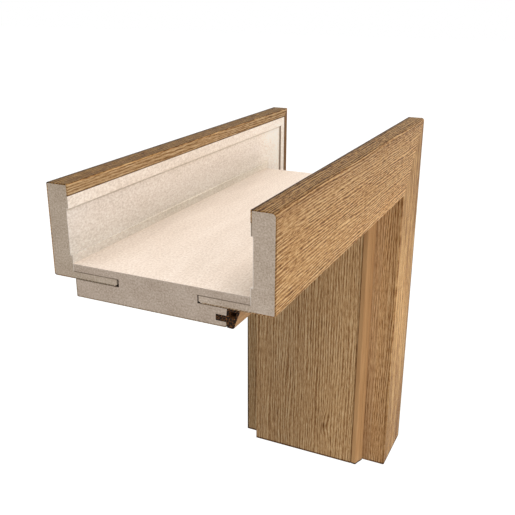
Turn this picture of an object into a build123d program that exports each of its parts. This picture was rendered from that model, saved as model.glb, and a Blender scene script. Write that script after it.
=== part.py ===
"""Corner of an adjustable door casing frame, cut short on its head and on its jamb.

Head and jamb have one section. A grooved lining board spans the wall's thickness,
and a casing with a tongue covers the wall's edge on each side. The front casing is
fixed. The rear casing draws out of its groove to suit the wall. All runs are
mitred at the corner.

X runs along the head towards the outer corner, Y from the front casing to the rear
one, Z up the jamb. The origin is on the jamb lining's wall side, at mid depth and
halfway up the cut jamb. Sizes are in millimetres.
"""

import os

from build123d import *

# Overall size of the cut corner
frame_depth = 151.9
head_length = 337.5
jamb_length = 337.5

# Casing section, with its skins
casing_width = 60.0
casing_thickness = 15.3
front_edge_radius = 3.0
rear_edge_radius = 1.0
inner_edge_radius = 1.2
back_edge_radius = 0.5

# Back of the casing: a land under the outer edge, a relief, a land on the lining
upper_land_width = 15.1
relief_depth = 1.5
lower_land_height = 5.4

# Tongues and the grooves that take them
tongue_thickness = 4.6
front_tongue_length = 33.0
rear_tongue_length = 31.8
tongue_nose_run = 2.2
tongue_nose_rise = 1.1
sliding_clearance = 0.2
front_groove_spare = 0.7
rear_groove_spare = 1.4

# Lining section, with its skins
lining_thickness = 21.7
groove_lip_thickness = 5.0
rebate_depth = 14.7
rebate_edge_radius = 1.5
soffit_edge_radius = 0.5
rear_reveal_gap = 0.9

# Skins: oak veneer on what shows in the room, paper film on what faces the wall
veneer_thickness = 0.7
film_thickness = 0.3
veneer_wrap_width = 7.5

# Soft seal in the rebate
seal_lip_width = 8.4
seal_heel_width = 7.5
seal_waist_width = 5.2
seal_foot_width = 4.2
seal_tip_width = 3.3
seal_wall = 1.2
seal_edge_radius = 0.4
seal_tip_overhang = 0.2
seal_lip_gap = 0.3
stem_length = 7.3
stem_thickness = 3.9
stem_clearance = 0.05
kerf_to_soffit = 3.3

# Heights from the lining's wall side, outwards positive
soffit = -lining_thickness
groove_roof = -groove_lip_thickness
tongue_top = groove_roof - sliding_clearance
foot = tongue_top - tongue_thickness
groove_floor = foot - sliding_clearance
casing_rise = foot + casing_width
land_edge = casing_rise - upper_land_width
wrap_edge = casing_rise - veneer_wrap_width
kerf_floor = soffit + kerf_to_soffit
stem_floor = kerf_floor + stem_clearance
stem_roof = stem_floor + stem_thickness
kerf_roof = stem_roof + stem_clearance
seal_top = foot - seal_lip_gap
seal_heel = (seal_top + stem_roof) / 2
seal_tip = soffit - seal_tip_overhang

# Depths from the front casing's face
half_depth = frame_depth / 2
rear_lip_end = frame_depth - casing_thickness
rebate_face = casing_thickness + rebate_depth
front_groove_end = casing_thickness + front_tongue_length + front_groove_spare
rear_groove_end = rear_lip_end - rear_tongue_length - rear_groove_spare
lining_back = rear_lip_end - rear_reveal_gap
kerf_end = rebate_face + stem_length + stem_clearance

# Where the two runs lie and where they meet
lining_length = jamb_length - casing_rise
head_level = lining_length / 2
head_start = casing_rise - head_length
outer_top = head_level + casing_rise
head_section = Plane((head_start, 0, head_level), x_dir=(0, 1, 0), z_dir=(1, 0, 0))
jamb_section = Plane((0, 0, outer_top), x_dir=(0, 1, 0), z_dir=(0, 0, -1))
mitre = Plane((casing_rise, 0, outer_top), x_dir=(0, 1, 0), z_dir=(1, 0, -1))

FRONT = -1
REAR = 1


def at(depth, height, side=FRONT):
    """Point of the section at a depth from the side's own casing face."""
    return (side * (half_depth - depth), height)


def face_of(points, side=FRONT):
    """Flat face through points, each a depth and a height."""
    with BuildSketch() as section:
        with BuildLine():
            Polyline([at(depth, height, side) for depth, height in points], close=True)
        make_face()
    return section.sketch


def corner(section, depth, height, side=FRONT):
    """The section's corner at a depth and a height."""
    return section.vertices().sort_by_distance(at(depth, height, side))[0]


def casing_back(skin):
    """Points down a casing's wall side, from the veneer's edge to the tongue, under a skin."""
    back = casing_thickness - skin
    return [
        (back, wrap_edge),
        (back, land_edge + skin),
        (back - relief_depth, land_edge + skin),
        (back - relief_depth, lower_land_height - skin),
        (back, lower_land_height - skin),
        (back, tongue_top),
    ]


def casing_tongue(tongue_length):
    """Points round a casing's tongue, over its end and down the eased nose."""
    tongue_end = casing_thickness + tongue_length
    return [
        (tongue_end, tongue_top),
        (tongue_end, foot + tongue_nose_rise),
        (tongue_end - tongue_nose_run, foot),
    ]


def whole_casing(side, tongue_length, edge_radius):
    """Section of a casing, skins and all, with its outer edge rounded."""
    show_face = [(0, foot), (0, casing_rise), (casing_thickness, casing_rise)]
    with BuildSketch() as section:
        add(face_of([*show_face, *casing_back(0), *casing_tongue(tongue_length)], side))
        fillet(corner(section, 0, foot, side), inner_edge_radius)
        fillet(corner(section, 0, casing_rise, side), edge_radius)
        fillet(corner(section, casing_thickness, casing_rise, side), back_edge_radius)
    return section.sketch


def casing_core(side, tongue_length, edge_radius):
    """Section of a casing's board, under its skins, with the whole tongue."""
    skin = veneer_thickness
    under_veneer = [
        (skin, foot + skin),
        (skin, casing_rise - skin),
        (casing_thickness - skin, casing_rise - skin),
        (casing_thickness - skin, wrap_edge),
    ]
    veneer_end = (casing_thickness + tongue_length - tongue_nose_run, foot + skin)
    back = casing_back(film_thickness)
    with BuildSketch() as section:
        add(face_of([*under_veneer, *back, *casing_tongue(tongue_length), veneer_end], side))
        fillet(corner(section, skin, foot + skin, side), inner_edge_radius - skin)
        fillet(corner(section, skin, casing_rise - skin, side), edge_radius - skin)
    return section.sketch


def casing_backing(side):
    """Section of the film on a casing's wall side, which follows the relief."""
    return face_of([*casing_back(0), *reversed(casing_back(film_thickness))], side)


def casing_veneer(side, tongue_length, edge_radius):
    """Section of the veneer, from behind the outer edge round to the tongue's nose."""
    with BuildSketch() as section:
        add(whole_casing(side, tongue_length, edge_radius))
        add(casing_core(side, tongue_length, edge_radius), mode=Mode.SUBTRACT)
        add(casing_backing(side), mode=Mode.SUBTRACT)
    return section.sketch


def lining_core():
    """Section of the lining board, with both grooves and the seal's kerf."""
    skin = veneer_thickness
    points = [
        (casing_thickness, -film_thickness),
        (rear_lip_end, -film_thickness),
        (rear_lip_end, groove_roof),
        (rear_groove_end, groove_roof),
        (rear_groove_end, groove_floor),
        (lining_back - skin, groove_floor),
        (lining_back - skin, soffit + skin),
        (rebate_face + skin, soffit + skin),
        (rebate_face + skin, kerf_floor),
        (kerf_end, kerf_floor),
        (kerf_end, kerf_roof),
        (rebate_face, kerf_roof),
        (rebate_face, groove_floor),
        (front_groove_end, groove_floor),
        (front_groove_end, groove_roof),
        (casing_thickness, groove_roof),
    ]
    with BuildSketch() as section:
        add(face_of(points))
        fillet(corner(section, rebate_face + skin, soffit + skin), rebate_edge_radius - skin)
    return section.sketch


def lining_veneer():
    """Section of the veneer on the soffit, turned up the rebate and the back edge."""
    skin = veneer_thickness
    points = [
        (lining_back, groove_floor),
        (lining_back, soffit),
        (rebate_face, soffit),
        (rebate_face, kerf_floor),
        (rebate_face + skin, kerf_floor),
        (lining_back - skin, kerf_floor),
        (lining_back - skin, groove_floor),
    ]
    with BuildSketch() as section:
        add(face_of(points))
        fillet(corner(section, rebate_face, soffit), rebate_edge_radius)
        fillet(corner(section, lining_back, soffit), soffit_edge_radius)
        add(lining_core(), mode=Mode.SUBTRACT)
    return section.sketch


def lining_backing():
    """Section of the film on the lining's wall side."""
    across = [casing_thickness, rear_lip_end]
    wall_side = [(depth, 0) for depth in across]
    board_side = [(depth, -film_thickness) for depth in reversed(across)]
    return face_of([*wall_side, *board_side])


def door_seal():
    """Section of the seal: a stem in the kerf, and a hollow lip that meets the door."""
    outline = [
        (rebate_face, seal_top),
        (rebate_face - seal_lip_width, seal_top),
        (rebate_face - seal_heel_width, seal_heel),
        (rebate_face - seal_waist_width, stem_floor),
        (rebate_face - seal_foot_width, soffit),
        (rebate_face - seal_tip_width, seal_tip),
        (rebate_face, soffit),
        (rebate_face, stem_floor),
        (rebate_face + stem_length, stem_floor),
        (rebate_face + stem_length, stem_roof),
        (rebate_face, stem_roof),
    ]
    chamber = [
        (rebate_face - seal_wall, seal_top - seal_wall),
        (rebate_face - seal_heel_width + seal_wall, seal_top - seal_wall),
        (rebate_face - seal_heel_width + seal_wall, seal_heel),
        (rebate_face - seal_waist_width + seal_wall, stem_roof),
        (rebate_face - seal_wall, stem_roof),
    ]
    with BuildSketch() as section:
        add(face_of(outline))
        fillet(section.vertices().group_by(Axis.X)[0], seal_edge_radius)
        with BuildSketch(mode=Mode.SUBTRACT) as hollow:
            add(face_of(chamber))
            fillet(hollow.vertices(), seal_edge_radius)
    return section.sketch


front_casing = (FRONT, front_tongue_length, front_edge_radius)
rear_casing = (REAR, rear_tongue_length, rear_edge_radius)
sections = {
    "lining_core": lining_core(),
    "lining_veneer": lining_veneer(),
    "lining_backing": lining_backing(),
    "front_casing_core": casing_core(*front_casing),
    "front_casing_veneer": casing_veneer(*front_casing),
    "front_casing_backing": casing_backing(FRONT),
    "rear_casing_core": casing_core(*rear_casing),
    "rear_casing_veneer": casing_veneer(*rear_casing),
    "rear_casing_backing": casing_backing(REAR),
    "door_seal": door_seal(),
}
runs = {
    "head": (head_section, head_length, Keep.BOTTOM),
    "jamb": (jamb_section, jamb_length, Keep.TOP),
}

os.makedirs("parts", exist_ok=True)

for run_name, (section_plane, run_length, own_side) in runs.items():
    for piece_name, section in sections.items():
        with BuildPart() as piece:
            with BuildSketch(section_plane):
                add(section)
            extrude(amount=run_length)
            split(bisect_by=mitre, keep=own_side)
        piece.part.label = f"{run_name}_{piece_name}"
        export_step(piece.part, f"parts/{piece.part.label}.step")
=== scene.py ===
# %% [markdown]
# # A mitred corner of an adjustable door casing frame
#
# The solids come from the CAD model and stay where they are: two lining boards,
# four casings, their oak veneer and their cream backing film. This lesson gives each
# of them its finish, makes the two rubber seals finely, and sets up a plain studio.
# The frame holds every solid in metres, at rest, so its boxes are the ruler for
# everything that follows.

# %% Load the frame
import math

import bpy
from mathutils import Matrix, Vector


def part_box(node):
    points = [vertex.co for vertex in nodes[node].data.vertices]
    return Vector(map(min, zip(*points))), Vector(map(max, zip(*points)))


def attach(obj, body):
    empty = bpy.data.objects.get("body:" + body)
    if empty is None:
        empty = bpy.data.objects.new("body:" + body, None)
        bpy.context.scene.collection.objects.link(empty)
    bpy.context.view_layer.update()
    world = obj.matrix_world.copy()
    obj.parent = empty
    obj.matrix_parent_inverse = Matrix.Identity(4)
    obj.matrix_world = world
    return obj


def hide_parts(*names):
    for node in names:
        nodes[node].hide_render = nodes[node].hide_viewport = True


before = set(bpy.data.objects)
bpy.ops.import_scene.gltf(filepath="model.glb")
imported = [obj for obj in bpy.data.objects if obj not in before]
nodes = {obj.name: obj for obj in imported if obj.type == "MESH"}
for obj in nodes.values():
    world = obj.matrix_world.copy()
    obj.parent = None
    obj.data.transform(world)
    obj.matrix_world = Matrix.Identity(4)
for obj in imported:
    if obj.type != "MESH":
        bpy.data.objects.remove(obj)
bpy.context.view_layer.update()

# %% [markdown]
# ## The section's main lines
#
# Head and jamb share one section. The head's section lies in Y and Z, and the jamb's
# in Y and X, turned through the mitre, so a height over the head lining's wall side
# becomes an X on the jamb. Reading these lines from the nodes' boxes keeps the
# finishes on the solids when a size changes. What no box shows, such as the width of
# the land under the veneer's edge, is a named value that repeats the CAD's.

# %% Read the lines from the boxes
lining_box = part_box("head_lining_core")
lining_film_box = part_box("head_lining_backing")
soffit_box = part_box("head_lining_veneer")
front_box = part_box("head_front_casing_veneer")
rear_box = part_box("head_rear_casing_veneer")
rear_film_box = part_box("head_rear_casing_backing")
seal_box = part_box("head_door_seal")

MM = 0.001
LAND_WIDTH = 7.6 * MM
head_cut = lining_box[0].x
jamb_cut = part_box("jamb_lining_core")[0].z
rear_face = rear_box[1].y
rebate_face = soffit_box[0].y
wall_side = lining_film_box[1].z
soffit = soffit_box[0].z - wall_side
casing_foot = front_box[0].z - wall_side
casing_top = front_box[1].z - wall_side
land_face = rear_film_box[0].y
front_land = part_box("head_front_casing_backing")[1].y
wrap_edge = rear_film_box[1].z - wall_side
land_edge = wrap_edge - LAND_WIDTH
tongue_ends = (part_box("head_front_casing_core")[1].y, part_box("head_rear_casing_core")[0].y)
lip_ends = (lining_film_box[0].y, lining_film_box[1].y)
heights = (soffit, casing_foot, casing_top)
print("heights over the wall side, mm:", [round(height / MM, 2) for height in heights])
print("tongue ends, mm:", [round(end / MM, 2) for end in tongue_ends])

# %% [markdown]
# ## Writing a finish as a sum
#
# A procedural finish is arithmetic on the place of each point: waves, noises and
# masks, added and multiplied. Wiring that by hand takes a line for every link. A
# small class that turns `+`, `-` and `*` into Math nodes lets each finish read like
# the sum that it is. Places are in millimetres, the unit in which wood grain and
# paper mottling are easy to picture.

# %% Fields
class Field:
    """A number that varies over a surface. Sums and products become Math nodes."""

    def __init__(self, tree, socket):
        self.tree = tree
        self.socket = socket

    def maths(self, operation, *others):
        node = self.tree.nodes.new("ShaderNodeMath")
        node.operation = operation
        for socket, value in zip(node.inputs, (self, *others)):
            feed(self.tree, socket, value)
        return Field(self.tree, node.outputs[0])

    def __add__(self, other):
        return self.maths("ADD", other)

    def __sub__(self, other):
        return self.maths("SUBTRACT", other)

    def __mul__(self, other):
        return self.maths("MULTIPLY", other)

    def rise(self, low, high):
        """0 below low, 1 above high, with a smooth rise between. Swapped limits make it fall."""
        node = self.tree.nodes.new("ShaderNodeMapRange")
        node.interpolation_type = "SMOOTHSTEP"
        for name, value in (("Value", self), ("From Min", low), ("From Max", high)):
            feed(self.tree, node.inputs[name], value)
        return Field(self.tree, node.outputs[0])

    def past(self, line, reach):
        """The same rise or fall, between two distances past a line of the section."""
        return self.rise(line + reach[0], line + reach[1])

    def near(self, middle, reach):
        """1 at middle, and 0 from reach away on either side."""
        return (self - middle).maths("ABSOLUTE").rise(reach, 0.0)


def feed(tree, socket, value):
    """Links a field or a socket to a node's input, or sets a plain value on it."""
    if isinstance(value, Field):
        tree.links.new(value.socket, socket)
    elif isinstance(value, bpy.types.NodeSocket):
        tree.links.new(value, socket)
    else:
        socket.default_value = value


# %% Screen colours
def paint(red, green, blue):
    """A screen colour, 0 to 255, as the linear colour that shaders take."""

    def linear(level):
        share = level / 255
        return share / 12.92 if share <= 0.04045 else ((share + 0.055) / 1.055) ** 2.4

    return (linear(red), linear(green), linear(blue), 1.0)


print("a middle grey on the screen is", round(paint(128, 128, 128)[0], 3), "in a shader")

# %% The finish class
class Finish:
    """A material whose colour, gloss and relief are written as fields."""

    def __init__(self, name):
        self.material = bpy.data.materials.new(name)
        self.material.use_nodes = True
        self.tree = self.material.node_tree
        self.shader = self.tree.nodes["Principled BSDF"]
        self.place = self.tree.nodes.new("ShaderNodeTexCoord").outputs["Object"]

    def along(self, direction):
        """Each point's distance along a direction, in millimetres."""
        node = self.tree.nodes.new("ShaderNodeVectorMath")
        node.operation = "DOT_PRODUCT"
        feed(self.tree, node.inputs[0], self.place)
        feed(self.tree, node.inputs[1], Vector(direction) / MM)
        return Field(self.tree, node.outputs["Value"])

    def noise(self, x, y, z, detail=2.0, roughness=0.5):
        """Smooth random values about 0, one for each place x, y, z."""
        place = self.tree.nodes.new("ShaderNodeCombineXYZ")
        for socket, value in zip(place.inputs, (x, y, z)):
            feed(self.tree, socket, value)
        node = self.tree.nodes.new("ShaderNodeTexNoise")
        node.inputs["Scale"].default_value = 1.0
        node.inputs["Detail"].default_value = detail
        node.inputs["Roughness"].default_value = roughness
        feed(self.tree, node.inputs["Vector"], place.outputs[0])
        return Field(self.tree, node.outputs[0]) - 0.5

    def ramp(self, field, stops):
        """Colours from a field, through stops of a level and a colour."""
        node = self.tree.nodes.new("ShaderNodeValToRGB")
        feed(self.tree, node.inputs[0], field)
        elements = node.color_ramp.elements
        while len(elements) < len(stops):
            elements.new(0.5)
        for element, (level, colour) in zip(elements, stops):
            element.position = level
            element.color = colour
        return node.outputs["Color"]

    def mix(self, blend, mask, under, over):
        """Colour under, with colour over laid on it where the mask is 1."""
        node = self.tree.nodes.new("ShaderNodeMix")
        node.data_type = "RGBA"
        node.blend_type = blend
        feed(self.tree, node.inputs[0], mask)
        feed(self.tree, node.inputs[6], under)
        feed(self.tree, node.inputs[7], over)
        return node.outputs[2]

    def shade(self, colour, shades):
        """The colour multiplied by one tint after another, each where its mask is 1."""
        for mask, tint in shades:
            colour = self.mix("MULTIPLY", mask, colour, tint)
        return colour

    def coat(self, colour, roughness, shine):
        """Gives the surface its colour, its roughness and the strength of its shine."""
        feed(self.tree, self.shader.inputs["Base Color"], colour)
        feed(self.tree, self.shader.inputs["Roughness"], roughness)
        feed(self.tree, self.shader.inputs["Specular IOR Level"], shine)

    def relief(self, height, depth):
        """Bumps the surface by a field that spans 0 to 1 over a depth in millimetres."""
        node = self.tree.nodes.new("ShaderNodeBump")
        node.inputs["Distance"].default_value = depth * MM
        feed(self.tree, node.inputs["Height"], height)
        feed(self.tree, self.shader.inputs["Normal"], node.outputs["Normal"])


# %% [markdown]
# ## Oak veneer
#
# The veneer is a thin sheet of real oak, wrapped round the edges of its board and
# lacquered satin. Its grain runs along the board, in fine streaks about a millimetre
# wide with short dark pores between them, and it goes on round the rounded edges as
# one sheet. An image would show a seam there, and stretch. Here one distance runs
# along the board and another across the sheet, over the face and round the edge, and
# the noises are drawn long and thin on those two.
#
# Head and jamb share every finish, and one table holds what differs between them.
# `cut` is where the saw went through, and `corner` is where the two wall sides meet.
# `burn` is how far the saw's scorch reaches, and `stain` is how strongly the outer
# edge is stained. A 0 or a 1 switches a shade off or on, and the rest are tints, and
# the reaches of the shades that differ.

# %% Where head and jamb lie, and how they differ
RUNS = {
    "head": {
        "name": "head",
        "along": (1, 0, 0),
        "height": (0, 0, 1),
        "wall_side": wall_side,
        "cut": head_cut,
        "corner": 0.0,
        "burn": 0.9,
        "stain": 1.0,
        "knot": 0.0,
        "outer_line": 0.0,
        "pale": 0.0,
        "face_tint": (1.0, 1.0, 1.0, 1.0),
        "inner_reach": (60.0, 200.0),
        "inner_margin": (1.1, 1.07, 1.05, 1.0),
        "step_drop": 0.2,
        "wrap_tone_and_shade": (0.81, 0.9, 1.07, 1.0),
    },
    "jamb": {
        "name": "jamb",
        "along": (0, 0, 1),
        "height": (1, 0, 0),
        "wall_side": 0.0,
        "cut": jamb_cut,
        "corner": wall_side,
        "burn": 2.3,
        "stain": 0.4,
        "knot": 1.0,
        "outer_line": 1.0,
        # On the jamb, the face tint and the pale switch carry partly painted light and shade.
        "pale": 1.0,
        "face_tint": (0.86, 0.86, 0.84, 1.0),
        "inner_reach": (220.0, 60.0),
        "inner_margin": (0.8, 0.77, 0.72, 1.0),
        "step_drop": 0.0,
        # On the jamb the wrap's tint is painted shade.
        "wrap_tone_and_shade": (0.42, 0.38, 0.36, 1.0),
    },
}


def run_lengths(finish, run):
    """Distances from the saw cut, over the wall side and behind mid depth, in millimetres."""
    from_cut = finish.along(run["along"]) - run["cut"] / MM
    height = finish.along(run["height"]) - run["wall_side"] / MM
    return from_cut, height, finish.along((0, 1, 0))


for run in RUNS.values():
    print(run["name"], "from cut to corner, mm:", round((run["corner"] - run["cut"]) / MM, 1))

# %% [markdown]
# ## The grain
#
# Oak's grain has several scales at once: broad bands, the growth rings, fibres and
# pores. Each gets a noise of its own, and each noise its steps per millimetre along
# the board and across it. The first two noises push the others sideways, so the
# streaks wander as real ones do, and the drift keeps the rings from lying evenly. The
# shares say how much each of the rest adds to the tone.

# %% The grain of oak
OAK_TONES = [
    (0.00, paint(96, 60, 30)),
    (0.28, paint(146, 102, 58)),
    (0.50, paint(183, 139, 90)),
    (0.72, paint(209, 167, 114)),
    (1.00, paint(230, 194, 144)),
]
PLAIN_WOOD = 0.58
WANDER_STEPS, WANDER_REACH = (0.004, 0.012), 9.0
RIPPLE_STEPS = (0.05, 0.12)
BAND_STEPS, BAND_SHARE = (0.003, 0.09), 0.3
DRIFT_STEPS, DRIFT_TURNS = (0.008, 0.12), 20.0
CLEAR_STEPS, CLEAR_LEVELS = (0.02, 0.05), (-0.3, 0.1)
RING_SHARE = 0.35
FIBRE_STEPS, FIBRE_SHARE = (0.12, 1.1), 2.5
PORE_STEPS, PORE_LEVELS, PORE_SHARE = (0.09, 3.0), (0.07, 0.17), 0.28
GAIN_ALONG = (60.0, 300.0)


def oak_grain(finish, length, height, depth, figure, seed):
    """Tone and pores of oak, for distances along the sheet, up its face and round its edge."""
    face_ring, edge_ring, contrast, gain = figure

    def streaks(steps, place, offset, **kind):
        return finish.noise(length * steps[0], place * steps[1], seed + offset, **kind)

    across = height + depth
    turns = height * (2 * math.pi / face_ring) + depth * (2 * math.pi / edge_ring)
    shift = streaks(WANDER_STEPS, across, 0) * WANDER_REACH + streaks(RIPPLE_STEPS, across, 3)
    sheet = across + shift
    bands = streaks(BAND_STEPS, sheet, 5)
    drift = streaks(DRIFT_STEPS, sheet, 13) * DRIFT_TURNS
    clearness = streaks(CLEAR_STEPS, sheet, 17).rise(*CLEAR_LEVELS)
    rings = (turns + shift * (2 * math.pi / face_ring) + drift).maths("SINE") * clearness
    fibres = streaks(FIBRE_STEPS, sheet, 7, detail=3.0, roughness=0.8)
    pores = streaks(PORE_STEPS, sheet, 11, detail=1.0).rise(*PORE_LEVELS)
    lines = bands * BAND_SHARE + fibres * FIBRE_SHARE + rings * RING_SHARE - pores * PORE_SHARE
    return lines * (length.rise(*GAIN_ALONG) * gain + contrast) + PLAIN_WOOD, pores


# %% [markdown]
# ## Where the veneer darkens
#
# The veneer of a real casing isn't one tone. It is stained darker where it is bent
# round the outer edge, the saw scorches it beside a cut, and its arrises show as fine
# lines. Its tone drifts along the board, and on the jamb that drift is partly painted
# light and shade. Some shades are painted light and shade outright: the jamb's soffit
# is lit towards its front and dim behind, and painted shade lies on the rounded top
# arris, on the jamb's wrap and beside the rebate's arris. Painting all that would take
# an image for each board. Here each shade is a mask, which is 1 where the shade lies,
# and a tint that multiplies the colour there. The wrap is the strip of veneer that is
# turned round onto the wall side, and the step is where the land behind it drops into
# the casing's relief.
#
# A mask rises between two distances past one of the section's lines, or between two
# distances from the cut. These reaches are in millimetres. They start from lines that
# were read from the boxes, so a shade keeps its place when a size changes.

# %% The section's lines in millimetres
TOP = casing_top / MM
FOOT = casing_foot / MM
SOFFIT = soffit / MM
FACE = rear_face / MM
LAND = land_face / MM
WRAP = wrap_edge / MM
STEP = land_edge / MM
REBATE = rebate_face / MM
print("heights of top, wrap, step and foot:", [round(line, 1) for line in (TOP, WRAP, STEP, FOOT)])
print("depths of face, land and rebate:", [round(line, 1) for line in (FACE, LAND, REBATE)])

# %% A casing's outer edge
STAIN_START = -0.2
WALL_ARRIS = (-0.1, -0.4)
ARRIS_REACH = 4.0


def outer_stain(height, behind, run, board):
    """1 on the stained outer edge. The wall side is free of it from just below the arris."""
    stain = height.past(TOP, (-board["stain_fade"], STAIN_START)) * run["stain"]
    return stain * (behind * height.past(TOP, WALL_ARRIS) * -1.0 + 1.0)


def outer_edge_shades(outwards, stain, board):
    """Shades of the outer edge: its stain, and the arris that is darkest."""
    return (
        (stain, board["outer_edge"]),
        (stain * outwards.near(board["dark_arris"], ARRIS_REACH), board["arris_line"]),
    )


print("outer edge at a height of", round(TOP, 1), "mm,", round(FACE - LAND, 1), "mm thick")

# %% A casing's face
ON_FACE = (-3.0, -0.5)
OUTER_MARGIN = (-30.0, -3.0)
OUTER_MARGIN_TINT = (0.86, 0.86, 0.88, 1.0)
# Painted shade on the rounded top arris, which dims the light it catches.
SHOULDER_DROP = 2.5
SHOULDER_REACH = 1.7
SHOULDER_SHADE_TINT = (0.84, 0.84, 0.86, 1.0)
OUTER_LINE = (-5.0, -3.6)
OUTER_LINE_TINT = (0.5, 0.48, 0.44, 1.0)
INNER_MARGIN = (24.0, 3.0)
INNER_LINE = (3.5, 0.8)
INNER_LINE_TINT = (0.66, 0.74, 0.86, 1.0)
# The jamb's paler middle and darker foot stand partly for a drift of tone and partly for painted
# light and shade.
PALE_MIDDLE = 165.0
PALE_REACH = 140.0
PALE_TONE_AND_LIGHT_TINT = (1.32, 1.34, 1.35, 1.0)
JAMB_FOOT_ALONG = (120.0, 50.0)
JAMB_FOOT_TONE_AND_SHADE_TINT = (0.95, 0.93, 0.9, 1.0)


def face_shades(from_cut, height, outwards, run, board):
    """The face's margins, painted shade on its arris, lines by its edges, and a drift of tone
    partly of painted light.
    """
    show = outwards.past(FACE, ON_FACE)
    inner_margin = height.past(FOOT, INNER_MARGIN) * from_cut.rise(*run["inner_reach"])
    return (
        (show, run["face_tint"]),
        (show * height.past(TOP, OUTER_MARGIN), OUTER_MARGIN_TINT),
        (show * height.near(TOP - SHOULDER_DROP, SHOULDER_REACH), SHOULDER_SHADE_TINT),
        (show * inner_margin, run["inner_margin"]),
        (show * from_cut.near(PALE_MIDDLE, PALE_REACH) * run["pale"], PALE_TONE_AND_LIGHT_TINT),
        (show * from_cut.rise(*JAMB_FOOT_ALONG) * run["pale"], JAMB_FOOT_TONE_AND_SHADE_TINT),
        (show * height.past(TOP, OUTER_LINE) * run["outer_line"], OUTER_LINE_TINT),
        (show * height.past(FOOT, INNER_LINE) * board["inner_line"], INNER_LINE_TINT),
    )


print("face between heights of", round(FOOT, 1), "and", round(TOP, 1), "mm")

# %% A casing's inner edge
ON_INNER_EDGE = (1.2, 0.4)
GLOW_BEHIND_FACE = (-3.95, -18.95)
GLOW_ALONG = (10.0, 160.0)
SILHOUETTE_REACH = 3.0
SILHOUETTE_TINT = (0.5, 0.48, 0.46, 1.0)


def inner_edge_shades(from_cut, height, outwards, run, board):
    """Shades of the inner edge, which is paler away from the face and dark at its arris."""
    inner = height.past(FOOT, ON_INNER_EDGE)
    glow = outwards.past(FACE, GLOW_BEHIND_FACE) * from_cut.rise(*GLOW_ALONG) * run["pale"]
    return (
        (inner, board["inner_edge"]),
        (inner * glow, board["inner_glow"]),
        (inner * outwards.near(FACE, SILHOUETTE_REACH) * board["inner_line"], SILHOUETTE_TINT),
    )


print("inner edge up to a height of", round(FOOT + ON_INNER_EDGE[0], 1), "mm")

# %% A casing's wrap behind the outer edge
ON_WRAP = (-2.0, -1.0)
BELOW_TOP = (-0.4, -1.2)
WRAP_ALONG = (60.0, 300.0)
WRAP_FAR_TINT = (0.86, 0.81, 0.73, 1.0)
WRAP_LINE = (1.2, 0.4)
WRAP_LINE_TINT = (0.36, 0.3, 0.24, 1.0)


def wrap_shades(from_cut, height, behind, run):
    """Shades of the wrap on the wall side, browner away from the cut, with a dark edge, and painted
    shade on the jamb.
    """
    back = behind * height.past(WRAP, ON_WRAP)
    wrap = back * height.past(TOP, BELOW_TOP)
    return (
        (wrap, run["wrap_tone_and_shade"]),
        (wrap * from_cut.rise(*WRAP_ALONG), WRAP_FAR_TINT),
        (back * height.past(WRAP, WRAP_LINE), WRAP_LINE_TINT),
    )


print("wrap between heights of", round(WRAP, 1), "and", round(TOP, 1), "mm")

# %% A lining's soffit
KNOT_FROM_CUT = 35.0
KNOT_DEPTH = -15.0
KNOT_SIZE = (8.0, 5.0)
KNOT_SWIRL = (22.0, 9.0)
KNOT_PUSH = 3.0
KNOT_TINT = (0.55, 0.45, 0.35, 1.0)
# Painted light and shade across the jamb's soffit: darker overall, lighter towards its front.
JAMB_SOFFIT_SHADE_TINT = (0.86, 0.88, 0.9, 1.0)
FRONT_SOFFIT = (35.0, -45.0)
FRONT_SOFFIT_LIGHT_TINT = (1.38, 1.37, 1.33, 1.0)
# Painted shadow: a dark line along the soffit beside the rebate's arris.
REBATE_ARRIS = (2.4, 1.0)
REBATE_SHADOW_TINT = (0.62, 0.58, 0.52, 1.0)


def knot(from_cut, depth, size, run):
    """1 in the middle of the soffit's one small knot, and 0 past its size along and across."""
    along, across = size
    return from_cut.near(KNOT_FROM_CUT, along) * depth.near(KNOT_DEPTH, across) * run["knot"]


def lining_shades(from_cut, depth, run):
    """A lining's knot, the jamb's darker foot, painted light and shade on its soffit, and a painted
    shadow at the rebate.
    """
    return (
        (knot(from_cut, depth, KNOT_SIZE, run), KNOT_TINT),
        (run["pale"], JAMB_SOFFIT_SHADE_TINT),
        (from_cut.rise(*JAMB_FOOT_ALONG) * run["pale"], JAMB_FOOT_TONE_AND_SHADE_TINT),
        (depth.rise(*FRONT_SOFFIT) * run["pale"], FRONT_SOFFIT_LIGHT_TINT),
        (depth.past(REBATE, REBATE_ARRIS), REBATE_SHADOW_TINT),
    )


print("knot", KNOT_FROM_CUT, "mm from the cut, at a depth of", KNOT_DEPTH, "mm")

# %% The whole veneer of one board
BEHIND_LAND = (0.9, 0.3)
ON_TONGUE = (2.0, 1.0)
TONGUE_TINT = (0.92, 0.94, 1.0, 1.0)
STAIN_CONTRAST = 0.8
BACK_CONTRAST = -0.3
SATIN = 0.55
PORE_ROUGHNESS = 0.2
PORE_DEPTH = 0.5
END_GRAIN = (0.08, 0.02)
END_GRAIN_TINT = (0.9, 1.12, 1.5, 1.0)
BURN_FADE = 0.9
BURNT_TINT = (0.32, 0.26, 0.2, 1.0)
BURN_AT_END = -0.6
BURN_AT_CORNER = -0.8
BURN_AT_TONGUE = -0.5
OUTER_CORNER = (-9.0, -3.5)


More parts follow.
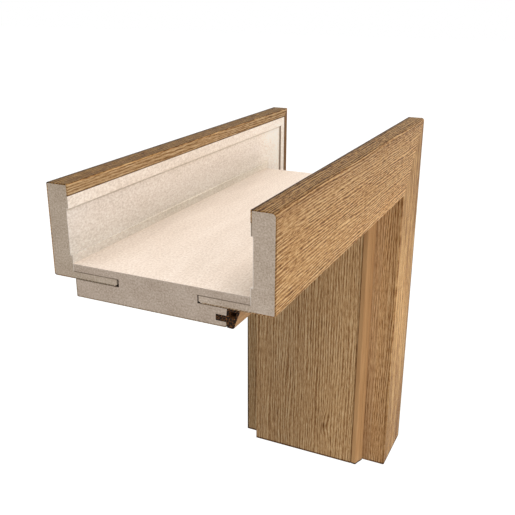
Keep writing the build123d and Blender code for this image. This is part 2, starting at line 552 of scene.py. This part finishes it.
def oak(name, run, board, seed):
    """Oak veneer for one board, whose sheet runs on round the edge of its side."""
    finish = Finish(name)
    from_cut, height, depth = run_lengths(finish, run)
    across = depth * board["side"]
    if not board["casing"]:
        across = across + knot(from_cut, depth, KNOT_SWIRL, run) * KNOT_PUSH
    figure = board["figure"][run["name"]]
    grain, pores = oak_grain(finish, from_cut, height, across, figure, seed)
    end_grain = from_cut.rise(*END_GRAIN)
    burnt = from_cut.rise(run["burn"], run["burn"] - BURN_FADE) * (end_grain * BURN_AT_END + 1.0)
    if board["casing"]:
        outwards = depth * -board["side"]
        behind = outwards.past(LAND, BEHIND_LAND)
        tongue = behind * height.past(FOOT, ON_TONGUE)
        stain = outer_stain(height, behind, run, board)
        shades = (
            *outer_edge_shades(outwards, stain, board),
            *face_shades(from_cut, height, outwards, run, board),
            *inner_edge_shades(from_cut, height, outwards, run, board),
            *wrap_shades(from_cut, height, behind, run),
            (tongue, TONGUE_TINT),
        )
        grain = grain + (grain - PLAIN_WOOD) * (stain * STAIN_CONTRAST + behind * BACK_CONTRAST)
        corner = height.past(TOP, OUTER_CORNER)
        burnt = burnt * (corner * BURN_AT_CORNER + tongue * BURN_AT_TONGUE + 1.0)
        end_grain = end_grain * tongue
    else:
        shades = lining_shades(from_cut, depth, run)
    colour = finish.ramp(grain, OAK_TONES)
    colour = finish.shade(colour, ((1.0, board["tint"]), *shades))
    colour = finish.shade(colour, ((burnt, BURNT_TINT), (end_grain, END_GRAIN_TINT)))
    finish.coat(colour, roughness=pores * PORE_ROUGHNESS + SATIN, shine=0.08)
    finish.relief(grain - pores * PORE_DEPTH, depth=0.08)
    return finish.material


print("the scorch reaches, mm:", {run["name"]: run["burn"] for run in RUNS.values()})

# %% [markdown]
# ## Fibreboard
#
# The boards are medium-density fibreboard: wood fibre pressed to a grey-beige felt.
# A saw leaves its cut ends matt, with fine specks and faint clouds. Small noises with
# no direction say that. On the cut, thin dark lines mark where tongue and groove meet.
# Behind it no light gets into the grooves and the kerf, so their walls are darkened
# outright, and a casing that is drawn out leaves a dark slot, not a pale one.

# %% Joints on the cut end
TONGUE_THICKNESS = 4.6
HALF_FIT = 0.1
GROOVE_ROOF = FOOT + TONGUE_THICKNESS + HALF_FIT
GROOVE_FLOOR = FOOT - HALF_FIT
GROOVE_SPARE = 0.7
GLUE_LINE = front_land / MM - 0.5
ABOVE_STEP = (0.0, 0.3)
IN_GROOVE = ((-0.3, 0.0), (0.3, 0.0))
ON_GROOVE_WALLS = ((-0.35, -0.25), (0.3, 0.2))
PAST_LIP = (-0.3, 0.0)
TONGUE_END = (1.2, 0.8)
SEAM_WIDTH = 0.5
END_SEAM_WIDTH = 0.6
LIP_SEAM_WIDTH = 0.4
LIP_SEAM_SHARE = 0.5
GAP_REACH = 2.0


def joints(height, depth):
    """Three masks: the joints' thin lines, the grooves' walls, and the gaps past the tongues."""
    seams = height.near(GROOVE_ROOF, SEAM_WIDTH) + height.near(GROOVE_FLOOR, SEAM_WIDTH)
    in_groove, on_walls = (
        height.past(FOOT, floor_reach) * height.past(GROOVE_ROOF, roof_reach)
        for floor_reach, roof_reach in (IN_GROOVE, ON_GROOVE_WALLS)
    )
    at_roof = height.past(GROOVE_ROOF, PAST_LIP) * LIP_SEAM_SHARE
    lines = depth.near(GLUE_LINE, END_SEAM_WIDTH) * height.past(STEP, ABOVE_STEP)
    grooves = 0.0
    gaps = 0.0
    for side, tongue_end, lip_end in zip((1, -1), tongue_ends, lip_ends):
        inwards = depth * side
        end = side * tongue_end / MM
        lip = side * lip_end / MM
        over_tongue = inwards.past(lip, PAST_LIP) * inwards.past(end, TONGUE_END)
        lines = over_tongue * seams + lines
        lines = in_groove * inwards.near(end + GROOVE_SPARE / 2, END_SEAM_WIDTH) + lines
        lines = at_roof * inwards.near(lip, LIP_SEAM_WIDTH) + lines
        grooves = on_walls * over_tongue + grooves
        gaps = on_walls * inwards.near(end + GROOVE_SPARE, GAP_REACH) + gaps
    return lines.maths("MINIMUM", 1.0), grooves, gaps


print("grooves from", round(GROOVE_FLOOR, 1), "to", round(GROOVE_ROOF, 1), "mm")

# %% The kerf for the seal's stem
KERF_TO_SOFFIT = 3.3
KERF_WIDTH = 4.0
KERF_FLOOR = SOFFIT + KERF_TO_SOFFIT
KERF_ROOF = KERF_FLOOR + KERF_WIDTH
STEM_END = seal_box[1].y / MM
ABOVE_FLOOR = (-0.2, -0.1)
BELOW_ROOF = (0.2, 0.1)
BEHIND_REBATE = (-0.2, 0.0)
UP_TO_END = (0.2, 0.1)


def kerf(height, depth):
    """1 on the walls of the kerf that takes the seal's stem."""
    across = height.past(KERF_FLOOR, ABOVE_FLOOR) * height.past(KERF_ROOF, BELOW_ROOF)
    return across * depth.past(REBATE, BEHIND_REBATE) * depth.past(STEM_END, UP_TO_END)


print("kerf from", round(KERF_FLOOR, 1), "to", round(KERF_ROOF, 1), "mm")

# %% Sawn and milled fibreboard
MDF_TONES = [
    (0.0, paint(158, 139, 120)),
    (0.5, paint(201, 184, 165)),
    (1.0, paint(234, 220, 204)),
]
MIDDLE_TONE = 0.5
CLOUD_STEPS, CLOUD_SHARE = (0.07, 0.07), 0.5
SPECK_STEPS, SPECK_SHARE = (0.9, 0.9), 2.0
ON_CUT = (0.3, 0.02)
PAST_CUT = (0.02, 0.3)
JOINT_TINT = (0.4, 0.36, 0.32, 1.0)
GROOVE_TINT = (0.3, 0.25, 0.2, 1.0)
KERF_TINT = (0.1, 0.08, 0.06, 1.0)


def mottle(finish, lengths, steps, seed, **kind):
    """Noise at so many steps per millimetre along a run, and so many over its section."""
    from_cut, height, depth = lengths
    along, across = steps
    return finish.noise(from_cut * along, height * across, depth * across + seed, **kind)


def fibreboard(name, run, board, seed):
    """Fibreboard for one board, with the joints' lines on its cut end."""
    finish = Finish(name)
    lengths = run_lengths(finish, run)
    from_cut, height, depth = lengths
    clouds = mottle(finish, lengths, CLOUD_STEPS, seed)
    specks = mottle(finish, lengths, SPECK_STEPS, seed, detail=4.0, roughness=0.75)
    tone = clouds * CLOUD_SHARE + specks * SPECK_SHARE + MIDDLE_TONE
    colour = finish.ramp(tone, MDF_TONES)
    lines, grooves, gaps = joints(height, depth)
    shades = [(1.0, board["core_tint"]), (lines * from_cut.rise(*ON_CUT), JOINT_TINT)]
    if not board["casing"]:
        inside = from_cut.rise(*PAST_CUT)
        shades.append((grooves * inside, GROOVE_TINT))
        shades.append(((kerf(height, depth) + gaps) * inside, KERF_TINT))
    finish.coat(finish.shade(colour, shades), roughness=0.85, shine=0.2)
    finish.relief(specks, depth=0.12)
    return finish.material


# %% [markdown]
# ## Backing film
#
# The wall side of every board carries a cream paper film that balances the veneer.
# It is matt and a little uneven, because the board's fibres show through. On the
# casings it is pressed down into the relief behind the wall's edge, where it looks
# duller. Painted shade darkens it along the small steps, a painted highlight runs along
# the low ledge, and painted light brightens it far from the cut and near the corner. On
# the linings painted shade darkens it towards both casings. So it is made by the
# veneer's means: noises, and a row of shades. A limit at the end keeps the film cream
# where several pale tints meet.

# %% Film behind a casing
LAND_REACH = 0.2
LAND_TINT = (1.03, 1.06, 1.08, 1.0)
RELIEF_TINT = (0.94, 0.98, 1.02, 1.0)
LOW_RELIEF = (26.0, 8.0)
LOW_RELIEF_TINT = (0.93, 0.95, 0.95, 1.0)
# Painted shade: a dark line on the step's ledge, and a painted shadow under it.
STEP_WIDTH = 0.35
STEP_SHADE_TINT = (0.34, 0.31, 0.28, 1.0)
UNDER_STEP = 1.1
UNDER_STEP_WIDTH = 0.8
UNDER_STEP_SHADOW_TINT = (0.72, 0.7, 0.66, 1.0)
LOW_LAND = 5.4
LOW_LAND_TINT = (0.96, 0.96, 0.93, 1.0)
LOW_ALONG = (10.0, 120.0)
# Painted shade: a soft dark band along the low step.
LOW_STEP_WIDTH = 3.5
LOW_STEP_SHADE_TINT = (0.93, 0.93, 0.92, 1.0)
# Painted highlight: a bright line along the low ledge, which faces up.
LOW_LEDGE_WIDTH = 0.6
LOW_LEDGE_MIDDLE = 150.0
LOW_LEDGE_REACH = 150.0
LOW_LEDGE_HIGHLIGHT_TINT = (1.25, 1.25, 1.25, 1.0)
# Painted light: the film is made brighter far from the cut.
FAR_ALONG = (180.0, 330.0)
FAR_PAINTED_LIGHT_TINT = (1.15, 1.15, 1.15, 1.0)
UPPER_RELIEF = (20.0, 34.0)
UPPER_ALONG = (50.0, 150.0)
UPPER_TINT = (1.09, 1.09, 1.08, 1.0)
# Painted light: brighter again near the corner, just under the step.
CORNER_ALONG = (262.0, 300.0)
CORNER_BELOW_STEP = (-1.0, -2.0)
CORNER_PAINTED_LIGHT_TINT = (1.2, 1.18, 1.16, 1.0)


def casing_film_shades(from_cut, height, run):
    """Shades of the film on a casing: lands, relief, painted shade at the steps, painted light far
    from the cut.
    """
    land = height.past(STEP, (-LAND_REACH, LAND_REACH))
    low_land = height.past(LOW_LAND, (LAND_REACH, -LAND_REACH))
    low_along = from_cut.rise(*LOW_ALONG)
    low_ledge = height.near(LOW_LAND, LOW_LEDGE_WIDTH)
    upper = height.rise(*UPPER_RELIEF) * height.past(STEP, (LAND_REACH, -LAND_REACH))
    corner = from_cut.rise(*CORNER_ALONG) * height.past(STEP, CORNER_BELOW_STEP)
    return (
        (land, LAND_TINT),
        (land * -1.0 + 1.0, RELIEF_TINT),
        (height.rise(*LOW_RELIEF), LOW_RELIEF_TINT),
        (low_land * low_along, LOW_LAND_TINT),
        (height.near(STEP - run["step_drop"], STEP_WIDTH), STEP_SHADE_TINT),
        (height.near(STEP - UNDER_STEP, UNDER_STEP_WIDTH), UNDER_STEP_SHADOW_TINT),
        (height.near(LOW_LAND, LOW_STEP_WIDTH) * low_along, LOW_STEP_SHADE_TINT),
        (low_ledge * from_cut.near(LOW_LEDGE_MIDDLE, LOW_LEDGE_REACH), LOW_LEDGE_HIGHLIGHT_TINT),
        (from_cut.rise(*FAR_ALONG), FAR_PAINTED_LIGHT_TINT),
        (upper * from_cut.rise(*UPPER_ALONG), UPPER_TINT),
        (corner, CORNER_PAINTED_LIGHT_TINT),
    )


print("relief between heights of", LOW_LAND, "and", round(STEP, 1), "mm")

# %% Film on a lining
# Painted shade: the film darkens beside both casings, most beside the front one near the cut.
BESIDE_FRONT = (34.0, 0.0)
BESIDE_REAR = (-24.0, 0.0)
BESIDE_REAR_SHARE = 0.4
BESIDE_CASING_SHADE_TINT = (0.84, 0.84, 0.83, 1.0)
NEAR_CUT = (80.0, 10.0)
NEAR_CUT_SHADE_TINT = (0.9, 0.9, 0.9, 1.0)


def lining_film_shades(from_cut, depth):
    """Shades of the film on a lining: painted shade that darkens it towards the casings."""
    beside_front = depth.past(lip_ends[0] / MM, BESIDE_FRONT)
    beside_rear = depth.past(lip_ends[1] / MM, BESIDE_REAR)
    return (
        (beside_front + beside_rear * BESIDE_REAR_SHARE, BESIDE_CASING_SHADE_TINT),
        (beside_front * from_cut.rise(*NEAR_CUT), NEAR_CUT_SHADE_TINT),
    )


print("depths where a lining's film ends, mm:", [round(end / MM, 1) for end in lip_ends])

# %% The whole film of one board
FILM_TONES = [
    (0.0, paint(218, 201, 184)),
    (0.5, paint(236, 219, 203)),
    (1.0, paint(249, 236, 222)),
]
FILM_LIMIT = (1.0, 0.94, 0.86, 1.0)
BLOTCH_STEPS, BLOTCH_SHARE = (0.02, 0.1), 0.7
TOOTH_STEPS, TOOTH_SHARE = (0.5, 0.8), 3.0


def backing_film(name, run, board, seed):
    """Cream paper film, mottled along its run."""
    finish = Finish(name)
    lengths = run_lengths(finish, run)
    from_cut, height, depth = lengths
    blotches = mottle(finish, lengths, BLOTCH_STEPS, seed, detail=3.0)
    tooth = mottle(finish, lengths, TOOTH_STEPS, seed, detail=3.0, roughness=0.7)
    tone = blotches * BLOTCH_SHARE + tooth * TOOTH_SHARE + MIDDLE_TONE
    colour = finish.ramp(tone, FILM_TONES)
    if board["casing"]:
        colour = finish.shade(colour, casing_film_shades(from_cut, height, run))
        colour = finish.mix("DARKEN", 1.0, colour, FILM_LIMIT)
    else:
        colour = finish.shade(colour, lining_film_shades(from_cut, depth))
    finish.coat(colour, roughness=0.7, shine=0.15)
    finish.relief(tooth, depth=0.03)
    return finish.material


# %% [markdown]
# ## Seal rubber
#
# The seal is extruded from a soft rubber, tan on its skin. Where a knife cuts it, it
# is dark brown and grainy, and its hollow is in shade. The distance from the cut and
# the place in the section tell the three apart, so one material serves a whole strip.

# %% Seal rubber
SKIN_TONES = [(0.0, paint(166, 122, 78)), (1.0, paint(200, 156, 108))]
SKIN_STEPS = (0.03, 0.4)
CUT_TONES = [(0.0, paint(10, 5, 2)), (1.0, paint(128, 82, 42))]
CUT_STEPS = (0.1, 1.0)
CUT_GAIN = 4.0
CUT_LEVEL = 0.12
CUT_START = 0.8
CUT_END = 0.5
HOLLOW_TONE = paint(110, 72, 42)
HOLLOW_FLOOR = SOFFIT + 6.2
HOLLOW_ROOF = FOOT - 0.9
HOLLOW_FRONT = REBATE - 6.3
ENTERING = (-0.1, 0.0)
LEAVING = (0.0, -0.1)


def seal_rubber(name, run):
    """Soft rubber, tan on its skin and dark brown where it is cut."""
    finish = Finish(name)
    lengths = run_lengths(finish, run)
    from_cut, height, depth = lengths
    clouds = mottle(finish, lengths, SKIN_STEPS, 0.0)
    grains = mottle(finish, lengths, CUT_STEPS, 0.0)
    skin = finish.ramp(clouds + MIDDLE_TONE, SKIN_TONES)
    fresh = finish.ramp(grains * CUT_GAIN + CUT_LEVEL, CUT_TONES)
    hollow = height.past(HOLLOW_FLOOR, ENTERING) * height.past(HOLLOW_ROOF, LEAVING)
    hollow = hollow * depth.past(HOLLOW_FRONT, ENTERING)
    at_cut = from_cut.rise(run["burn"] * CUT_START, run["burn"] * CUT_END)
    colour = finish.mix("MIX", hollow, skin, HOLLOW_TONE)
    finish.coat(finish.mix("MIX", at_cut, colour, fresh), roughness=0.6, shine=0.12)
    return finish.material


print("hollow of the seal from", round(HOLLOW_FLOOR, 1), "to", round(HOLLOW_ROOF, 1), "mm")

# %% [markdown]
# ## Dress the solids
#
# Each node's one material slot takes the finish of its kind. Every board gets its own
# seed, so no two faces show the same figure. The four numbers of a figure are how far
# apart the growth rings lie on the face and round the edge, how strong the grain is,
# and how much it gains away from the cut.

# %% The boards
BOARDS = {
    "lining": {
        "side": -1,
        "casing": False,
        "figure": {"head": (2.6, 2.6, 0.7, 0.0), "jamb": (2.6, 2.6, 0.7, 0.0)},
        "tint": (0.82, 0.86, 0.99, 1.0),
        "core_tint": (0.85, 0.83, 0.84, 1.0),
    },
    "front_casing": {
        "side": 1,
        "casing": True,
        "figure": {"head": (2.0, 2.0, 1.0, 0.3), "jamb": (8.0, 2.2, 0.75, 0.0)},
        "tint": (0.97, 0.93, 0.88, 1.0),
        "core_tint": (0.89, 0.87, 0.87, 1.0),
        "stain_fade": 1.2,
        "inner_line": 0.0,
        "inner_glow": (1.34, 1.4, 1.46, 1.0),
        "inner_edge": (0.9, 0.9, 0.97, 1.0),
        "outer_edge": (0.5, 0.46, 0.37, 1.0),
        "dark_arris": LAND,
        "arris_line": (0.15, 0.12, 0.1, 1.0),
    },
    "rear_casing": {
        "side": -1,
        "casing": True,
        "figure": {"head": (2.0, 2.0, 1.0, 0.4), "jamb": (2.0, 2.0, 0.7, 0.0)},
        "tint": (1.0, 0.99, 0.97, 1.0),
        "core_tint": (0.81, 0.79, 0.77, 1.0),
        "stain_fade": 2.0,
        "inner_line": 1.0,
        "inner_glow": (1.2, 1.18, 1.1, 1.0),
        "inner_edge": (0.62, 0.68, 0.8, 1.0),
        "outer_edge": (0.37, 0.32, 0.205, 1.0),
        "dark_arris": FACE,
        "arris_line": (0.06, 0.05, 0.04, 1.0),
    },
}
print("boards on each run:", ", ".join(BOARDS))

# %% Assign the finishes
SEED_STEP = 17.0

seed = 0.0
for run_name, run in RUNS.items():
    for board_name, board in BOARDS.items():
        name = f"{run_name}_{board_name}"
        seed += SEED_STEP
        dress = {
            "core": fibreboard(f"fibreboard_{name}", run, board, seed),
            "veneer": oak(f"oak_{name}", run, board, seed),
            "backing": backing_film(f"film_{name}", run, board, seed),
        }
        for part, material in dress.items():
            nodes[f"{name}_{part}"].material_slots[0].material = material
        print(name, "shader nodes in its oak:", len(dress["veneer"].node_tree.nodes))
print("dressed nodes:", 3 * len(RUNS) * len(BOARDS))

# %% [markdown]
# ## The door seal
#
# An extruded rubber seal sits in the rebate: a barbed stem pressed into a kerf, and a
# hollow lip that the door leaf squeezes. Its shape is one section carried along a run
# and cut at the mitre, so Geometry Nodes suit it. The section is drawn once, as two
# curves, and a tree draws it out. Head and jamb then differ only in where the finished
# strip is laid.

# %% The stem and its barbs
seal_stem = seal_box[1].y - rebate_face
STEM_MIDDLE = 5.3 * MM
STEM_CORE = 2.4 * MM
STEM_ROOT = 0.5 * MM
STEM_PLAIN = 1.2 * MM
STEM_END_HALF = 0.5 * MM
BARB_REACH = 1.9 * MM
BARB_LEAN = 0.3 * MM
BARB_SLOPE = 0.85
BARB_COUNT = 3


def barbs(direction):
    """Corners along one side of the stem, from its root to its end. Direction is 1 or -1."""
    step = (seal_stem - STEM_PLAIN) / BARB_COUNT
    side = STEM_MIDDLE + direction * STEM_CORE / 2
    tip = STEM_MIDDLE + direction * BARB_REACH
    corners = []
    for number in range(BARB_COUNT):
        root = -STEM_ROOT - number * step
        slope_end = root - BARB_SLOPE * step
        corners += [(root, side, 0.0), (root - BARB_LEAN, tip, 0.1), (slope_end, side, 0.0)]
    return corners


print("stem of the seal, mm:", round(seal_stem / MM, 2), "with barbs on a side:", BARB_COUNT)

# %% The lip and its hollow
seal_lip = rebate_face - seal_box[0].y
seal_top = seal_box[1].z - soffit_box[0].z
seal_tip = seal_box[0].z - soffit_box[0].z
SEAL_WALL = 1.3 * MM
FOOT_WIDTH = 4.2 * MM
TIP_WIDTH = 3.3 * MM
WAIST_WIDTH = 5.2 * MM
HEEL_WIDTH = 7.5 * MM
HEEL_LEVEL = 0.8
CHAMBER_HEEL_WALL = 1.1 * SEAL_WALL
CHAMBER_HEEL_LEVEL = 0.78
CHAMBER_FLOOR = STEM_MIDDLE + 1.0 * MM
CHAMBER_WAIST = WAIST_WIDTH - 0.4 * MM


def seal_outline():
    """Corners of the seal's outside: depth and height in metres, rounding in millimetres."""
    lip = [
        (0.0, seal_top, 0.2),
        (seal_lip, seal_top, 0.9),
        (HEEL_WIDTH, HEEL_LEVEL * seal_top, 2.0),
        (WAIST_WIDTH, STEM_MIDDLE - BARB_REACH, 2.0),
        (FOOT_WIDTH, 0.0, 0.6),
        (TIP_WIDTH, seal_tip, 0.4),
        (0.0, 0.0, 0.0),
    ]
    stem_end = [
        (-seal_stem, STEM_MIDDLE - STEM_END_HALF, 0.2),
        (-seal_stem, STEM_MIDDLE + STEM_END_HALF, 0.2),
    ]
    return lip + barbs(-1) + stem_end + barbs(1)[::-1]


def seal_chamber():
    """Corners of the hollow in the lip, written in the same way."""
    return [
        (SEAL_WALL, seal_top - SEAL_WALL, 0.6),
        (HEEL_WIDTH - SEAL_WALL, seal_top - SEAL_WALL, 0.6),
        (HEEL_WIDTH - CHAMBER_HEEL_WALL, CHAMBER_HEEL_LEVEL * seal_top, 1.0),
        (CHAMBER_WAIST, CHAMBER_FLOOR, 0.6),
        (SEAL_WALL, CHAMBER_FLOOR, 0.6),
    ]


print("lip of the seal, mm:", round(seal_lip / MM, 2), "by", round(seal_top / MM, 2))

# %% The section as two curves
def seal_section():
    """The two closed curves of the section, with each corner's rounding as its radius."""
    curve = bpy.data.curves.new("seal_section", "CURVE")
    for corners in (seal_outline(), seal_chamber()):
        spline = curve.splines.new("POLY")
        spline.points.add(len(corners) - 1)
        spline.use_cyclic_u = True
        for point, (depth, height, rounding) in zip(spline.points, corners):
            point.co = (depth, height, 0.0, 1.0)
            point.radius = rounding
    print("corners in the seal's section:", [len(spline.points) for spline in curve.splines])
    return curve


# %% [markdown]
# ## The tree that draws the seal out
#
# A rubber strip leaves its die with one section, and a blade slants its end for the
# mitre. The tree does the same. Each corner of the curves is rounded by its own
# radius, the section is filled and drawn out along Z, and a turned copy of the filled
# section closes the start. The mitre is a shift: a point of the far end moves along
# the run by its own height, which makes 45 degrees. A curve with a bevel would end
# square instead. Two tables, of nodes and of links, keep the tree easy to follow.

# %% The tree's nodes and links
ROUNDING_STEPS = 5
WELD_DISTANCE = 1e-6
SEAL_INPUTS = {
    "Section": "NodeSocketGeometry",
    "Run Length": "NodeSocketFloat",
    "Rubber": "NodeSocketMaterial",
}

# For each node: its kind, its settings and the values of its inputs.
SEAL_NODES = {
    "in": ("NodeGroupInput", {}, {}),
    "out": ("NodeGroupOutput", {}, {}),
    "rounding": ("GeometryNodeInputRadius", {}, {}),
    "millimetres": ("ShaderNodeMath", {"operation": "MULTIPLY"}, {1: MM}),
    "round": (
        "GeometryNodeFilletCurve",
        {"mode": "POLY"},
        {"Count": ROUNDING_STEPS, "Limit Radius": True},
    ),
    "fill": ("GeometryNodeFillCurve", {"mode": "TRIANGLES"}, {}),
    "draw_out": ("GeometryNodeExtrudeMesh", {}, {"Individual": False, "Offset": (0.0, 0.0, 1.0)}),
    "turn_cap": ("GeometryNodeFlipFaces", {}, {}),
    "join": ("GeometryNodeJoinGeometry", {}, {}),
    "weld": ("GeometryNodeMergeByDistance", {}, {"Distance": WELD_DISTANCE}),
    "place": ("GeometryNodeInputPosition", {}, {}),
    "split": ("ShaderNodeSeparateXYZ", {}, {}),
    "far_end": ("FunctionNodeCompare", {"operation": "GREATER_THAN"}, {1: MM}),
    "slant": ("ShaderNodeCombineXYZ", {}, {}),
    "mitre": ("GeometryNodeSetPosition", {}, {}),
    "realize": ("GeometryNodeRealizeInstances", {}, {}),
    "finish": ("GeometryNodeSetMaterial", {}, {}),
}

# For each link: a node, its output, the next node and its input.
SEAL_LINKS = (
    ("in", "Section", "round", 0),
    ("rounding", 0, "millimetres", 0),
    ("millimetres", 0, "round", "Radius"),
    ("round", 0, "fill", 0),
    ("fill", 0, "draw_out", "Mesh"),
    ("in", "Run Length", "draw_out", "Offset Scale"),
    ("fill", 0, "turn_cap", 0),
    ("turn_cap", 0, "join", 0),
    ("draw_out", 0, "join", 0),
    ("join", 0, "weld", 0),
    ("weld", 0, "mitre", 0),
    ("place", 0, "split", 0),
    ("split", "Z", "far_end", 0),
    ("far_end", 0, "mitre", "Selection"),
    ("split", "Y", "slant", "Z"),
    ("slant", 0, "mitre", "Offset"),
    ("mitre", 0, "realize", 0),
    ("realize", 0, "finish", 0),
    ("in", "Rubber", "finish", "Material"),
    ("finish", 0, "out", 0),
)
print("the seal's tree has", len(SEAL_NODES), "nodes and", len(SEAL_LINKS), "links")

# %% Build the tree
def seal_tree():
    """Rounds and fills the section, draws it out along Z and slants its far end."""
    tree = bpy.data.node_groups.new("seal_strip", "GeometryNodeTree")
    for name, kind in SEAL_INPUTS.items():
        tree.interface.new_socket(name, in_out="INPUT", socket_type=kind)
    tree.interface.new_socket("Strip", in_out="OUTPUT", socket_type="NodeSocketGeometry")
    made = {}
    for name, (kind, settings, values) in SEAL_NODES.items():
        made[name] = tree.nodes.new(kind)
        for key, value in settings.items():
            setattr(made[name], key, value)
        for entry, value in values.items():
            made[name].inputs[entry].default_value = value
    for source, output, target, entry in SEAL_LINKS:
        tree.links.new(made[source].outputs[output], made[target].inputs[entry])
    return tree


# %% Draw the seals and lay them in the rebates
CREASE = math.radians(30)


def seal_strip(name, section, tree, run, rubber):
    """One seal: the tree's result, laid along its run and turned into a plain mesh."""
    curve_object = bpy.data.objects.new(f"{name}_section", section)
    bpy.context.scene.collection.objects.link(curve_object)
    modifier = curve_object.modifiers.new("seal", "NODES")
    modifier.node_group = tree
    sockets = {item.name: item.identifier for item in tree.interface.items_tree}
    modifier[sockets["Run Length"]] = soffit - run["cut"] + run["corner"]
    modifier[sockets["Rubber"]] = rubber
    graph = bpy.context.evaluated_depsgraph_get()
    mesh = bpy.data.meshes.new_from_object(curve_object.evaluated_get(graph), depsgraph=graph)
    bpy.data.objects.remove(curve_object)
    across = Vector((0, -1, 0))
    up = Vector(run["height"])
    out = Vector(run["along"])
    start = out * run["cut"] + up * (run["wall_side"] + soffit) - across * rebate_face
    lay = Matrix.Translation(start) @ Matrix((across, up, out)).transposed().to_4x4()
    mesh.transform(lay)
    if lay.determinant() < 0:
        mesh.flip_normals()
    mesh.polygons.foreach_set("use_smooth", [True] * len(mesh.polygons))
    mesh.set_sharp_from_angle(angle=CREASE)
    piece = bpy.data.objects.new(name, mesh)
    bpy.context.scene.collection.objects.link(piece)
    print(name, "triangles:", sum(len(face.vertices) - 2 for face in mesh.polygons))
    return piece


section = seal_section()
tree = seal_tree()
for run_name, run in RUNS.items():
    rubber = seal_rubber(f"rubber_{run_name}", run)
    strip = seal_strip(f"{run_name}_seal_strip", section, tree, run, rubber)
    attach(strip, "fixed_frame")
    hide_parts(f"{run_name}_door_seal")

# %% [markdown]
# ## A plain studio
#
# A wall holds the frame up, so the floor lies well below it. Sky and floor together
# light every side, and two broad lamps, one from the front and one from above, model
# the edges. The strengths add up to about 1 on the top and the front, so colours
# render about as they are written. Only the camera, mirrors and glass see the sky and
# the floor as white.

# %% Sky
SKY_LEVEL = 0.7


def seen_by_eye_or_mirror(tree):
    """1 for rays from the camera and for mirrored and refracted ones, or else 0."""
    path = tree.nodes.new("ShaderNodeLightPath")
    camera = Field(tree, path.outputs["Is Camera Ray"])
    mirrored = camera.maths("MAXIMUM", path.outputs["Is Glossy Ray"])
    return mirrored.maths("MAXIMUM", path.outputs["Is Transmission Ray"])


world = bpy.data.worlds.new("studio_sky")
world.use_nodes = True
bpy.context.scene.world = world
sky = world.node_tree.nodes["Background"]
sky.inputs["Color"].default_value = (1.0, 1.0, 1.0, 1.0)
white = seen_by_eye_or_mirror(world.node_tree)
feed(world.node_tree, sky.inputs["Strength"], white * (1.0 - SKY_LEVEL) + SKY_LEVEL)
print("sky level on the object:", SKY_LEVEL)

# %% Floor
FLOOR_LEVEL = -0.9
FLOOR_REACH = 20.0
FLOOR_TONE = 0.55
FLOOR_GLOW = 0.45


def floor_paint():
    """Matt paint that adds a glow for the camera, which makes the floor white to it."""
    material = bpy.data.materials.new("floor_paint")
    material.use_nodes = True
    tree = material.node_tree
    tree.nodes.clear()
    matt = tree.nodes.new("ShaderNodeBsdfDiffuse")
    matt.inputs["Color"].default_value = (FLOOR_TONE, FLOOR_TONE, FLOOR_TONE, 1.0)
    glow = tree.nodes.new("ShaderNodeEmission")
    feed(tree, glow.inputs["Strength"], seen_by_eye_or_mirror(tree) * FLOOR_GLOW)
    both = tree.nodes.new("ShaderNodeAddShader")
    output = tree.nodes.new("ShaderNodeOutputMaterial")
    feed(tree, both.inputs[0], matt.outputs[0])
    feed(tree, both.inputs[1], glow.outputs[0])
    feed(tree, output.inputs["Surface"], both.outputs[0])
    return material


def studio_floor():
    """A wide pale floor that keeps soft shadows and looks white to the camera."""
    reach = FLOOR_REACH
    corners = [(-reach, -reach), (reach, -reach), (reach, reach), (-reach, reach)]
    mesh = bpy.data.meshes.new("studio_floor")
    mesh.from_pydata([(x, y, FLOOR_LEVEL) for x, y in corners], [], [(0, 1, 2, 3)])
    mesh.materials.append(floor_paint())
    floor = bpy.data.objects.new("studio_floor", mesh)
    bpy.context.scene.collection.objects.link(floor)
    print("floor at a height of", FLOOR_LEVEL, "m")
    return floor


studio_floor()

# %% Lamps
def broad_lamp(name, towards, spread):
    """A far soft lamp in the direction towards, whose length is its level face-on."""
    direction = Vector(towards)
    lamp = bpy.data.lights.new(name, "SUN")
    lamp.energy = direction.length * math.pi
    lamp.angle = math.radians(spread)
    holder = bpy.data.objects.new(name, lamp)
    holder.rotation_euler = direction.to_track_quat("Z", "Y").to_euler()
    bpy.context.scene.collection.objects.link(holder)
    print(name, "level face-on:", round(direction.length, 3))


broad_lamp("front_lamp", towards=(-0.04, -0.34, 0.08), spread=60.0)
broad_lamp("top_lamp", towards=(-0.02, 0.03, 0.4), spread=80.0)

# %% [markdown]
# ## The camera
#
# The view is from the left, in front and a little above, with a normal lens. Its
# place was worked out from the edges of the frame as they appear in the picture. The
# lens is a quarter of a percent longer than the edges alone gave, because the
# picture's silhouettes lie half a pixel further out.

# %% Camera
camera_place = Vector((-0.6197, -0.2199, 0.3017))
camera_aim = Vector((-0.0239, 0.0580, 0.0612))
camera_roll = math.radians(0.237)
camera_lens = 50.75

eye = bpy.data.cameras.new("camera")
eye.lens = camera_lens
eye.sensor_width = 36.0
camera = bpy.data.objects.new("camera", eye)
turn = (camera_aim - camera_place).to_track_quat("-Z", "Y").to_matrix().to_4x4()
camera.matrix_world = Matrix.Translation(camera_place) @ turn @ Matrix.Rotation(camera_roll, 4, "Z")
bpy.context.scene.collection.objects.link(camera)
bpy.context.scene.camera = camera
bpy.context.scene.view_settings.view_transform = "Standard"
print("camera at", tuple(round(v, 4) for v in camera_place))
